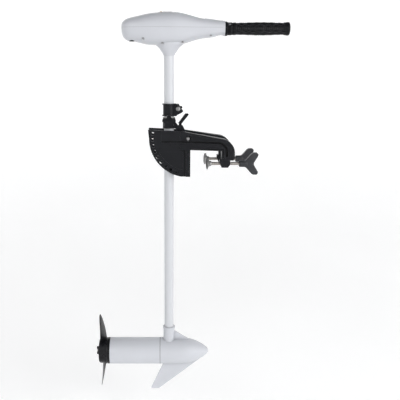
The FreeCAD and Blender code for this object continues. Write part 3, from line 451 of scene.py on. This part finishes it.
def skin_of(node):
    """Search tree over a CAD node's surface, in metres."""
    mesh = NODES[node].data
    points = [vertex.co.copy() for vertex in mesh.vertices]
    faces = [tuple(polygon.vertices) for polygon in mesh.polygons]
    return BVHTree.FromPolygons(points, faces)


def drop(tree, x, y, rise):
    """Point on a surface below (x, y), lifted along the surface's normal, in millimetres."""
    above = Vector((x * MM, y * MM, 1.0))
    place, normal, _, _ = tree.ray_cast(above, Vector((0.0, 0.0, -1.0)))
    if place is None:
        raise ValueError("nothing under %.1f, %.1f" % (x, y))
    return tuple((place + normal * rise * MM) / MM)


# ---- control head ---------------------------------------------------------------------------

def build_head():
    """Parting line, raised tongue, badge lens and meter lamps on the head's shells."""
    parting_seam()
    cover = skin_of("head_top_cover")
    raised_tongue(cover)
    badge_lens(cover)
    meter_lamps(skin_of("meter_panel"))


def parting_seam():
    """Fine shadow line where the two shells of the head meet, open at the neck, in metres."""
    front_end = 0.0935
    sunk, half_width, half_height = 0.00012, 0.00032, 0.00042
    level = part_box("head_lower_housing")[1].z
    skin = skin_of("head_lower_housing")
    middle = Vector((-0.05, 0.0, level - 0.0002))
    rings = []
    for step in range(-171, 172):
        turn = math.pi + math.radians(step)
        outward = Vector((math.cos(turn), math.sin(turn), 0.0))
        place = skin.ray_cast(middle + outward * 0.5, -outward)[0]
        if place is None or place.x > front_end:
            continue
        ring = []
        for roll in turns(8):
            point = place + outward * (half_width * math.cos(roll) - sunk)
            ring.append((point.x / MM, point.y / MM, (level + half_height * math.sin(roll)) / MM))
        rings.append(ring)
    finished(from_rings("parting_seam", rings), "seam_grey", "shaft", sharp=70.0)


def raised_tongue(cover):
    """Low raised tongue on top of the neck, round at the end away from the dial."""
    start, stop, half = 38.0, 90.0, 10.5
    taper, shoulder = 0.12, 1.6
    rise, sunk = 1.25, 0.25
    columns, rows = 44, 25
    points, faces = [], []
    for i in range(columns):
        along = i / (columns - 1)
        for j in range(rows):
            across = 2 * j / (rows - 1) - 1
            x_low = start + half * (1 - math.sqrt(max(0.0, 1 - across * across)))
            x = x_low + (stop - x_low) * along
            y = half * across * (1 - taper * along)
            edge = min(x - x_low, stop - x, half * (1 - abs(across)) * 1.2)
            blend = min(1.0, max(0.0, edge / shoulder))
            points.append(drop(cover, x, y, rise * math.sin(blend * math.pi / 2) - sunk))
    for i in range(columns - 1):
        for j in range(rows - 1):
            a = i * rows + j
            faces.append((a, a + rows, a + rows + 1, a + 1))
    obj = from_points("head_tongue", points, faces)
    face_outward(obj.data)
    thicken = obj.modifiers.new("thick", "SOLIDIFY")
    thicken.thickness = 0.0009
    thicken.offset = -1.0
    finished(obj, "shell_white", "shaft", sharp=60.0)


def badge_lens(cover):
    """Oval badge: bright teal rim round a domed dark lens, with no lettering."""
    low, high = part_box("badge_plate")
    middle = (low + high) / 2 / MM
    half_long = (high.x - low.x) / 2 / MM
    half_wide = (high.y - low.y) / 2 / MM
    # Share of the oval's size, and height above the cover.
    profile = [
        (1.0, -0.3), (1.0, 0.25), (0.985, 0.4), (0.945, 0.42), (0.925, 0.35), (0.915, 0.15),
        (0.9, 0.15), (0.86, 0.3), (0.7, 0.5), (0.45, 0.65), (0.2, 0.72), (0.04, 0.74),
    ]
    rim_bands, around = 5, 96
    rings = []
    for share, lift in profile:
        ring = []
        for turn in turns(around):
            x = middle.x + half_long * share * math.cos(turn)
            y = middle.y + half_wide * share * math.sin(turn)
            ring.append(drop(cover, x, y, lift))
        rings.append(ring)
    obj = from_rings("badge_lens", rings)
    obj.data.materials.append(FINISH["badge_dark"])
    obj.data.materials.append(FINISH["badge_edge"])
    for polygon in obj.data.polygons:
        if polygon.index < around * rim_bands:
            polygon.material_index = 1
    finished(obj, None, "shaft", replaced=("badge_plate",), sharp=50.0)


def meter_lamps(panel):
    """Bowed row of four round charge lamps on the meter panel, the first one amber."""
    # Radius, and height above the panel.
    profile = [(2.2, -0.2), (2.2, 0.35), (2.0, 0.6), (1.5, 0.85), (0.8, 1.0), (0.1, 1.03)]
    first_y, pitch, row_x = -10.5, 7.0, -85.0
    for step in range(4):
        y = first_y + pitch * step
        x = row_x + abs(step - 1.5)
        rings = []
        for radius, lift in profile:
            rings.append([drop(panel, x + radius * math.cos(turn), y + radius * math.sin(turn), lift)
                          for turn in turns(28)])
        finish = "lamp_amber" if step == 0 else "lamp_green"
        finished(from_rings("meter_lamp_%d" % (step + 1), rings), finish, "shaft", sharp=50.0)


# ---- tiller ---------------------------------------------------------------------------------

# Place along the grip, and radius.
GRIP_PROFILE = [
    (115.3, 15.6), (115.8, 16.3), (117.0, 16.8), (121.0, 17.1), (128.0, 16.9), (150.0, 17.4), (172.0, 18.2),
    (196.0, 18.6), (220.0, 18.2), (242.0, 17.2), (256.0, 16.9), (264.0, 17.5), (270.0, 18.4), (273.0, 18.3),
    (275.0, 17.0), (275.8, 15.4), (276.0, 13.5),
]
PAD_ROWS = 4
SCALLOP_START, SCALLOP_LENGTH = 128.0, 21.5
RIB_PITCH = SCALLOP_LENGTH / 4


def eased(share):
    """A share from 0 to 1 that starts and ends gently."""
    return share * share * (3 - 2 * share)


def step_up(value, low, high):
    """0 below a range, 1 above it, and a smooth rise between."""
    return eased(min(1.0, max(0.0, (value - low) / (high - low))))


def along_profile(profile, x):
    """Radius at a place along an outline, half straight and half eased between its points."""
    for (x0, r0), (x1, r1) in zip(profile, profile[1:]):
        if x <= x1:
            share = (x - x0) / (x1 - x0)
            return r0 + (r1 - r0) * (share * 0.5 + eased(share) * 0.5)
    return profile[-1][1]


def grip_relief(x, turn):
    """Depth cut into the grip at a place along it and an angle from straight up."""
    inside = step_up(x, 124.0, 127.0) * (1 - step_up(x, 258.0, 262.0))
    if inside <= 0:
        return 0.0
    sector = (turn / (2 * math.pi) * PAD_ROWS + 0.5) % 1.0 - 0.5
    half_pad = 0.31 + 0.065 * math.cos(2 * math.pi * (x - SCALLOP_START) / SCALLOP_LENGTH)
    edge = abs(sector) - half_pad
    groove = math.exp(-((edge + 0.03) / 0.028) ** 2)
    bead = math.exp(-((edge - 0.035) / 0.025) ** 2)
    pad = 1 - step_up(abs(sector), half_pad - 0.03, half_pad + 0.01)
    tick = (x - SCALLOP_START) % RIB_PITCH / RIB_PITCH - 0.5
    rib = math.exp(-(tick / 0.13) ** 2) * (1 - step_up(abs(sector), 0.1, 0.14))
    return inside * (1.7 * groove - 0.8 * bead + pad * (1.3 - 1.2 * rib))


def build_grip():
    """Rubber grip with four rows of scalloped pads, cross ribs and a flared end."""
    low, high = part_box("tiller_grip")
    centre_z = (low.z + high.z) / 2 / MM
    around, bore = 192, 11.6
    stations = [115.3, 115.5, 115.8, 116.3, 117.0, 118.5, 121.0]
    stations += [123.0 + 0.62 * k for k in range(226)]
    stations += [263.5 + 0.9 * k for k in range(11)]
    stations += [273.8, 274.4, 275.0, 275.4, 275.8, 276.0]
    rings = [hoop(x, 0.0, centre_z, bore, around) for x in (118.0, 115.3)]
    for x in stations:
        radius = along_profile(GRIP_PROFILE, x)
        ring = []
        for turn in turns(around):
            deep = radius - grip_relief(x, turn)
            ring.append((x, deep * math.sin(turn), centre_z + deep * math.cos(turn)))
        rings.append(ring)
    for x, radius in ((276.0, 11.0), (275.2, 9.5), (275.0, 5.0), (275.0, 0.6)):
        rings.append(hoop(x, 0.0, centre_z, radius, around))
    obj = from_rings("grip_rubber", rings)
    finished(obj, "rubber_black", "grip", replaced=("tiller_grip",), sharp=48.0)


def build_dial():
    """Ribbed speed dial with white marks and generic numbers."""
    low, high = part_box("speed_dial")
    centre_z = (low.z + high.z) / 2 / MM
    start, stop = low.x / MM, high.x / MM
    outer = (high.z - low.z) / 2 / MM
    around, ribs, rib_depth, bore = 288, 48, 0.5, 11.4
    # Place along the dial, radius, and whether the ribs cut into it there.
    profile = [
        (start, bore, 0), (start, outer - 1.3, 0), (start + 0.5, outer - 0.6, 0),
        (start + 1.4, outer - 0.1, 0), (stop - 3.4, outer - 0.1, 0), (stop - 3.1, outer - 0.7, 0),
        (stop - 2.8, outer - 0.2, 1), (stop - 0.8, outer - 0.4, 1), (stop - 0.2, outer - 1.2, 0),
        (stop, outer - 2.0, 0), (stop, bore, 0),
    ]
    rings = []
    for x, radius, ribbed in profile:
        ring = []
        for turn in turns(around):
            deep = radius - ribbed * rib_depth * (0.5 + 0.5 * math.cos(ribs * turn))
            ring.append((x, deep * math.sin(turn), centre_z + deep * math.cos(turn)))
        rings.append(ring)
    obj = from_rings("dial_body", rings, closed=True)
    finished(obj, "knob_black", "twist", replaced=("speed_dial",), sharp=40.0)
    dial_marks(start, centre_z, outer)


# Underside and top of the dial's marks, from its surface.
MARK_LIFTS = (-0.15, 0.14)
# Height of a numeral of the default typeface at size 1.
DIGIT_HEIGHT = 0.7


def dial_marks(start, centre_z, outer):
    """White bars and numerals wrapped round the dial, with the 0 at the top."""
    shown = ["5", "4", "3", "2", "1", "0", "1", "2", "3"]
    spacing = 18.0
    angles = [math.radians(spacing * (step - shown.index("0"))) for step in range(len(shown))]
    points, faces = [], []
    for middle in angles:
        wrapped_box(points, faces, start + 1.7, start + 3.0, middle, 0.045, outer - 0.12, centre_z)
    for label, middle in zip(shown, angles):
        add_numeral(points, faces, label, middle, start + 3.7, 3.9, outer - 0.1, centre_z)
    obj = from_points("dial_marks", points, faces)
    face_outward(obj.data)
    finished(obj, "mark_white", "twist", sharp=40.0)


def wrapped_box(points, faces, x_low, x_high, middle, half_turn, radius, centre_z):
    """One bar bent round the dial, a little sunk into it, with its six sides."""
    first = len(points)
    steps = 4
    for lift in MARK_LIFTS:
        for x in (x_low, x_high):
            for k in range(steps + 1):
                turn = middle - half_turn + 2 * half_turn * k / steps
                deep = radius + lift
                points.append((x, -deep * math.sin(turn), centre_z + deep * math.cos(turn)))
    row = steps + 1
    for k in range(steps):
        a = first + k
        faces.append((a, a + row, a + row + 1, a + 1))
        b = a + 2 * row
        faces.append((b, b + 1, b + row + 1, b + row))
        faces.append((a, a + 1, b + 1, b))
        faces.append((a + row, b + row, b + row + 1, a + row + 1))
    faces.append((first, first + 2 * row, first + 3 * row, first + row))
    last = first + steps
    faces.append((last, last + row, last + 3 * row, last + 2 * row))


def add_numeral(points, faces, label, middle, x_start, height, radius, centre_z):
    """One numeral, made from the default typeface and bent round the dial."""
    curve = bpy.data.curves.new("numeral", "FONT")
    curve.body = label
    curve.size = 1.0
    curve.extrude = 0.02
    curve.align_x = "CENTER"
    text = new_object("numeral", curve)
    bpy.context.view_layer.update()
    mesh = bpy.data.meshes.new_from_object(text.evaluated_get(bpy.context.evaluated_depsgraph_get()))
    first = len(points)
    sunk, proud = MARK_LIFTS
    for vertex in mesh.vertices:
        across = vertex.co.x * height / DIGIT_HEIGHT
        up = vertex.co.y * height / DIGIT_HEIGHT
        turn = middle + across / radius
        deep = radius + (proud if vertex.co.z > 0 else sunk)
        points.append((x_start + height - up, -deep * math.sin(turn), centre_z + deep * math.cos(turn)))
    for polygon in mesh.polygons:
        faces.append(tuple(first + index for index in polygon.vertices))
    bpy.data.objects.remove(text)
    bpy.data.curves.remove(curve)
    bpy.data.meshes.remove(mesh)


# ---- clamps and bracket ---------------------------------------------------------------------

def build_clamps():
    """Threaded clamp rods, softened wings and dished pads, whose lean differs from side to side."""
    for side, lean in (("right", -6.0), ("left", 20.0)):
        low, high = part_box("clamp_screw_" + side)
        y, z = (low.y + high.y) / 2 / MM, (low.z + high.z) / 2 / MM
        clamp_rod(side, low.x / MM, high.x / MM, y, z, (high.y - low.y) / 2 / MM)
        softened("clamp_wing_" + side, 1.6, steps=3, angle=30.0)
        clamp_pad(side, y, z, lean)


def clamp_rod(side, start, stop, y, z, outer):
    """Rod with a helical thread that fades into a plain tip."""
    tip, plain, root, pitch = 3.6, 4.0, 4.15, 1.5
    lead_in, full_depth, run_out = 0.8, 4.5, 1.2
    around, per_turn = 36, 6
    rings = [hoop(start, y, z, tip, around)]
    count = int((stop - start - run_out) / pitch * per_turn)
    for step in range(count + 1):
        x = start + lead_in + step * pitch / per_turn
        fade = step_up(x, start + lead_in, start + full_depth)
        ring = []
        for k, turn in enumerate(turns(around)):
            phase = (x / pitch - k / around) % 1.0
            tooth = 1 - abs(2 * phase - 1)
            radius = root + (outer - root) * min(1.0, max(0.0, 1.5 * tooth - 0.2))
            radius = plain + (radius - plain) * fade
            ring.append((x, y + radius * math.sin(turn), z + radius * math.cos(turn)))
        rings.append(ring)
    obj = from_rings("clamp_rod_" + side, rings)
    finished(
        obj, "stainless", "screw_" + side, replaced=("clamp_screw_" + side,), sharp=60.0)


def clamp_pad(side, y, z, lean):
    """Dished swivel pad, leaning by some degrees on the ball end of its rod."""
    low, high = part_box("clamp_pad_" + side)
    face, tail = low.x / MM, high.x / MM
    rim = (high.z - low.z) / 2 / MM
    hinge = face + 5.0
    # Place along the rod's line, and radius.
    profile = [
        (face + 3.2, 0.3), (face + 3.1, 5.0), (face + 2.6, 9.0), (face + 1.7, 12.5), (face + 0.8, rim - 1.6),
        (face + 0.3, rim - 0.7), (face + 0.3, rim - 0.2), (face + 0.9, rim - 0.1), (face + 1.7, rim - 0.5),
        (face + 3.2, 13.5), (face + 4.6, 10.4), (face + 6.2, 8.6), (face + 8.5, 7.6), (tail - 1.6, 7.0),
        (tail - 1.2, 6.7), (tail - 1.2, 4.9), (face + 8.0, 4.9),
    ]
    swing = math.radians(lean)
    rings = []
    for x, radius in profile:
        ahead = x - hinge
        ring = []
        for turn in turns(72):
            across, up = radius * math.sin(turn), radius * math.cos(turn)
            ring.append((hinge + ahead * math.cos(swing) + across * math.sin(swing),
                         y + across * math.cos(swing) - ahead * math.sin(swing), z + up))
        rings.append(ring)
    obj = from_rings("clamp_cup_" + side, rings)
    finished(
        obj, "steel_dull", "pad_" + side, replaced=("clamp_pad_" + side,), sharp=50.0)


def build_moulded_parts():
    """Round the edges of the moulded black parts and of the motor's castings."""
    for node, width in (
            ("bracket_side_right", 0.7), ("bracket_side_left", 0.7), ("swivel_bracket", 0.6),
            ("depth_collar", 0.6), ("tension_knob", 1.0), ("depth_knob", 1.0), ("tilt_lever", 0.9),
            ("transom_plate", 0.6), ("bridge_plate", 0.6), ("prop_nut", 0.5), ("tiller_bushing", 0.4),
            ("propeller", 0.35)):
        softened(node, width)
    for node, width in (("end_bell", 0.5), ("motor_tube", 0.25), ("nose_cone", 0.5)):
        softened(node, width, angle=40.0)


def build_motor_joint_shade():
    """Thin dark ring where the motor tube meets the nose: painted shade of the gap at the joint."""
    low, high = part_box("motor_tube")
    centre_z = (low.z + high.z) / 2 / MM
    radius = (high.z - low.z) / 2 / MM
    # Place from the joint, and height above the tube.
    section = [(-0.5, -1.5), (-0.5, -0.1), (-0.2, 0.12), (0.7, 0.12), (1.0, -0.1), (1.0, -1.5)]
    rings = [hoop(high.x / MM + ahead, 0.0, centre_z, radius + lift, 144) for ahead, lift in section]
    obj = from_rings("motor_joint_shade", rings, closed=True)
    finished(obj, "gap_dark", "shaft", sharp=50.0)


def build_knob_caps():
    """Plain black caps over the screw ends in the two hand knobs."""
    # Height above the knob's face, and radius.
    profile = [(-0.6, 7.4), (-0.1, 7.4), (0.5, 7.0), (0.8, 6.2), (0.7, 3.0), (0.7, 0.3)]
    sunk = 0.7
    for name, node, body, outward in (
            ("tension_cap", "tension_knob", "tension", -1), ("depth_cap", "depth_knob", "collar_knob", 1)):
        low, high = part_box(node)
        x, z = (low.x + high.x) / 2 / MM, (low.z + high.z) / 2 / MM
        face = (low.y if outward < 0 else high.y) / MM
        rings = []
        for out, radius in profile:
            y = face + outward * (out - sunk)
            rings.append([(x + radius * math.cos(turn), y, z + radius * math.sin(turn))
                          for turn in turns(48)])
        finished(from_rings(name, rings), "knob_black", body, sharp=50.0)


build_knob_caps()
build_head()
build_grip()
build_dial()
build_clamps()
build_moulded_parts()
build_motor_joint_shade()


# ---- camera, floor and light ----------------------------------------------------------------

def build_camera():
    """Product view from the right, looking down a little, with the object left of the middle."""
    data = bpy.data.cameras.new("camera")
    data.lens = 50.3
    data.sensor_width = 36.0
    data.shift_x = 0.0775
    data.clip_start, data.clip_end = 0.05, 50.0
    camera = new_object("camera", data)
    camera.location = (-0.0615, -1.634, 0.2605)
    looking_down = 13.0
    camera.rotation_euler = (math.radians(90.0 - looking_down), 0.0, 0.0)
    bpy.context.scene.camera = camera


def stage_finish():
    """Pale grey with a faint glow of its own, so that the far wall reads as white."""
    shader = Shader("stage_pale", rough=0.8)
    shader.main.inputs["Emission Color"].default_value = as_colour(1.0)
    shader.main.inputs["Emission Strength"].default_value = 0.3
    cloud = shader.noise(scale=1.5, detail=3.0)
    shader.colour(shader.ramp(cloud, low=0.3, high=0.7, dark=(0.8, 0.8, 0.8), light=(0.83, 0.83, 0.83)))
    gloss = shader.noise(scale=6.0, detail=3.0)
    shader.roughness(shader.ramp(gloss, low=0.3, high=0.7, dark=0.7, light=0.9))
    return shader.material


def build_stage():
    """Round pale floor that sweeps up into a wall on every side."""
    # The shaft slides down 130 mm from its rest place, so the floor lies just below that.
    deepest_drop = 0.135
    floor_z = cad_bounds[0].z - deepest_drop
    reach, bend, top = 3.6, 1.0, 4.5
    bend_steps, around = 12, 96
    profile = [(0.001, 0.0), (0.8, 0.0), (1.8, 0.0)]
    for step in range(bend_steps + 1):
        turn = math.pi / 2 * step / bend_steps
        profile.append((reach - bend + bend * math.sin(turn), bend - bend * math.cos(turn)))
    profile.append((reach, top))
    points, faces = [], []
    for radius, height in profile:
        points += [(radius * math.cos(turn), radius * math.sin(turn), floor_z + height)
                   for turn in turns(around)]
    for step in range(len(profile) - 1):
        here = step * around
        for k in range(around):
            after = (k + 1) % around
            faces.append((here + k, here + after, here + around + after, here + around + k))
    mesh = bpy.data.meshes.new("stage")
    mesh.from_pydata(points, [], faces)
    mesh.materials.append(stage_finish())
    mesh.shade_smooth()
    new_object("stage", mesh)


def area_light(name, place, target, size, power):
    """Rectangular soft box aimed at a point."""
    data = bpy.data.lights.new(name, "AREA")
    data.shape = "RECTANGLE"
    data.size, data.size_y = size
    data.energy = power
    light = new_object(name, data)
    light.location = place
    light.rotation_euler = (Vector(target) - Vector(place)).to_track_quat("-Z", "Y").to_euler()


def build_light():
    """Tall soft box from the front right, a weaker fill from the left, and a sky that is pale low down."""
    world = bpy.data.worlds.new("studio")
    world.use_nodes = True
    tree = world.node_tree
    background = tree.nodes["Background"]
    where = tree.nodes.new("ShaderNodeTexCoord")
    split = tree.nodes.new("ShaderNodeSeparateXYZ")
    ramp = tree.nodes.new("ShaderNodeValToRGB")
    ends = ramp.color_ramp.elements
    ends[0].position, ends[1].position = 0.05, 0.8
    horizon, zenith = (0.97, 0.98, 1.0), (0.22, 0.225, 0.235)
    ends[0].color = as_colour(horizon)
    ends[1].color = as_colour(zenith)
    tree.links.new(where.outputs["Generated"], split.inputs[0])
    tree.links.new(split.outputs["Z"], ramp.inputs["Fac"])
    tree.links.new(ramp.outputs["Color"], background.inputs["Color"])
    background.inputs["Strength"].default_value = 0.8
    bpy.context.scene.world = world
    centre = (-0.06, 0.0, -0.15)
    area_light("key", place=(2.1, -2.2, 0.7), target=centre, size=(1.2, 2.2), power=44.0)
    area_light("fill", place=(-1.3, -1.9, 1.2), target=centre, size=(1.2, 1.0), power=4.0)


build_camera()
build_stage()
build_light()
bpy.context.scene.view_settings.view_transform = "Standard"
